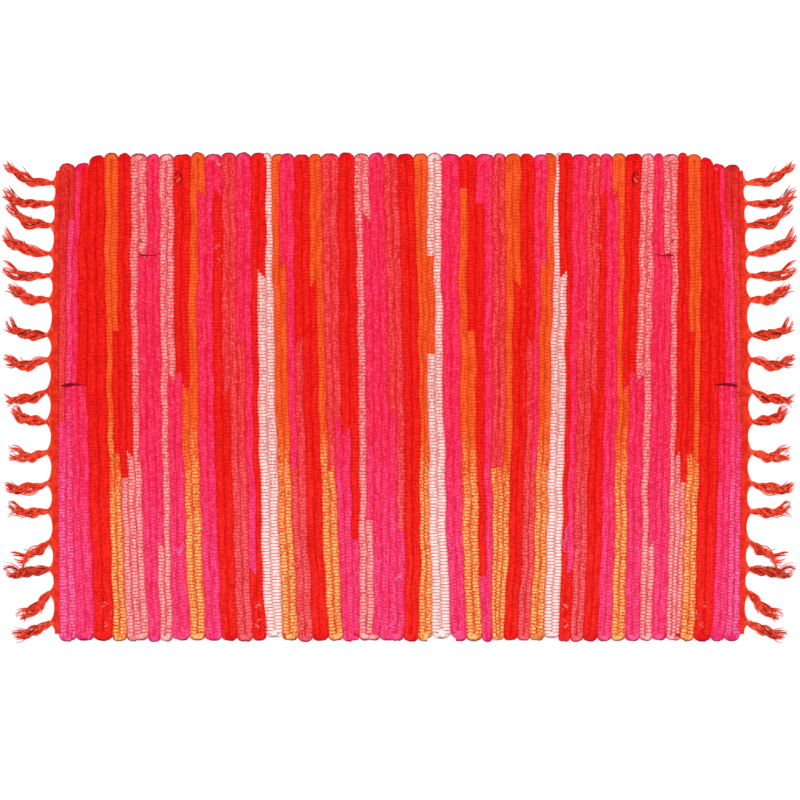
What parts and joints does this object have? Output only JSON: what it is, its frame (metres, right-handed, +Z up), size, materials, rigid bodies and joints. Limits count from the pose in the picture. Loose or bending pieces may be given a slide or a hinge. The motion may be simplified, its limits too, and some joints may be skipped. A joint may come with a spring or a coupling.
{
  "type": "woven rag bath mat",
  "caption": "Hand-woven cotton rag bath mat in red, pink, orange and white stripes, with a knotted warp fringe at each end; folds in half.",
  "frame": {"origin": "on the floor, under the middle of the mat", "axes": "+X along the mat towards its right end, +Y across it from selvedge to selvedge, +Z up"},
  "size_m": [0.8112, 0.5, 0.005],
  "materials": {
    "rag_red": "plain cotton jersey rag, bright red, matte and slightly fuzzy",
    "rag_hot_pink": "cotton rag, hot pink, matte and slightly fuzzy",
    "rag_magenta": "cotton rag, magenta pink with lilac streaks, matte",
    "rag_salmon": "cotton rag, salmon pink, matte",
    "rag_pale_pink": "cotton rag, pale pink, matte",
    "rag_orange": "cotton rag, orange turning to golden yellow, with light flecks, matte",
    "rag_white": "cotton rag, off-white with pink flecks, matte",
    "warp_cotton": "thin twisted cotton warp thread, red-orange, matte"
  },
  "bodies": {
    "left_half": {"rag_strip_01_magenta": "rag_magenta", "rag_strip_02_hot_pink": "rag_hot_pink", "rag_strip_03_red": "rag_red", "rag_strip_04_orange": "rag_orange", "rag_strip_05_red": "rag_red", "rag_strip_06_pale_pink": "rag_pale_pink", "rag_strip_07_hot_pink": "rag_hot_pink", "rag_strip_08_pale_pink": "rag_pale_pink", "rag_strip_09_hot_pink": "rag_hot_pink", "rag_strip_10_orange": "rag_orange", "rag_strip_11_hot_pink": "rag_hot_pink", "rag_strip_12_red": "rag_red", "rag_strip_13_salmon": "rag_salmon", "rag_strip_14_hot_pink": "rag_hot_pink", "rag_strip_15_red": "rag_red", "rag_strip_16_white": "rag_white", "rag_strip_17_orange": "rag_orange", "rag_strip_18_salmon": "rag_salmon", "rag_strip_19_red": "rag_red", "rag_strip_20_orange": "rag_orange", "rag_strip_21_salmon": "rag_salmon", "rag_strip_22_hot_pink": "rag_hot_pink", "rag_strip_23_red": "rag_red", "rag_strip_24_pale_pink": "rag_pale_pink", "rag_strip_25_hot_pink": "rag_hot_pink", "rag_strip_26_salmon": "rag_salmon", "left_warps": "warp_cotton", "left_header": "warp_cotton", "left_tassels": "warp_cotton"},
    "right_half": {"rag_strip_27_red": "rag_red", "rag_strip_28_orange": "rag_orange", "rag_strip_29_white": "rag_white", "rag_strip_30_hot_pink": "rag_hot_pink", "rag_strip_31_orange": "rag_orange", "rag_strip_32_hot_pink": "rag_hot_pink", "rag_strip_33_salmon": "rag_salmon", "rag_strip_34_orange": "rag_orange", "rag_strip_35_red": "rag_red", "rag_strip_36_salmon": "rag_salmon", "rag_strip_37_orange": "rag_orange", "rag_strip_38_white": "rag_white", "rag_strip_39_red": "rag_red", "rag_strip_40_hot_pink": "rag_hot_pink", "rag_strip_41_salmon": "rag_salmon", "rag_strip_42_red": "rag_red", "rag_strip_43_hot_pink": "rag_hot_pink", "rag_strip_44_orange": "rag_orange", "rag_strip_45_hot_pink": "rag_hot_pink", "rag_strip_46_pale_pink": "rag_pale_pink", "rag_strip_47_hot_pink": "rag_hot_pink", "rag_strip_48_pale_pink": "rag_pale_pink", "rag_strip_49_red": "rag_red", "rag_strip_50_orange": "rag_orange", "rag_strip_51_red": "rag_red", "rag_strip_52_hot_pink": "rag_hot_pink", "rag_strip_53_magenta": "rag_magenta", "right_warps": "warp_cotton", "right_header": "warp_cotton", "right_tassels": "warp_cotton"}
  },
  "joints": [
    {"name": "mid_fold", "type": "hinge", "parent": "left_half", "child": "right_half", "pos_m": [0, 0, 0.0053], "axis": [0, -1, 0], "range_deg": [0, 180]}
  ]
}
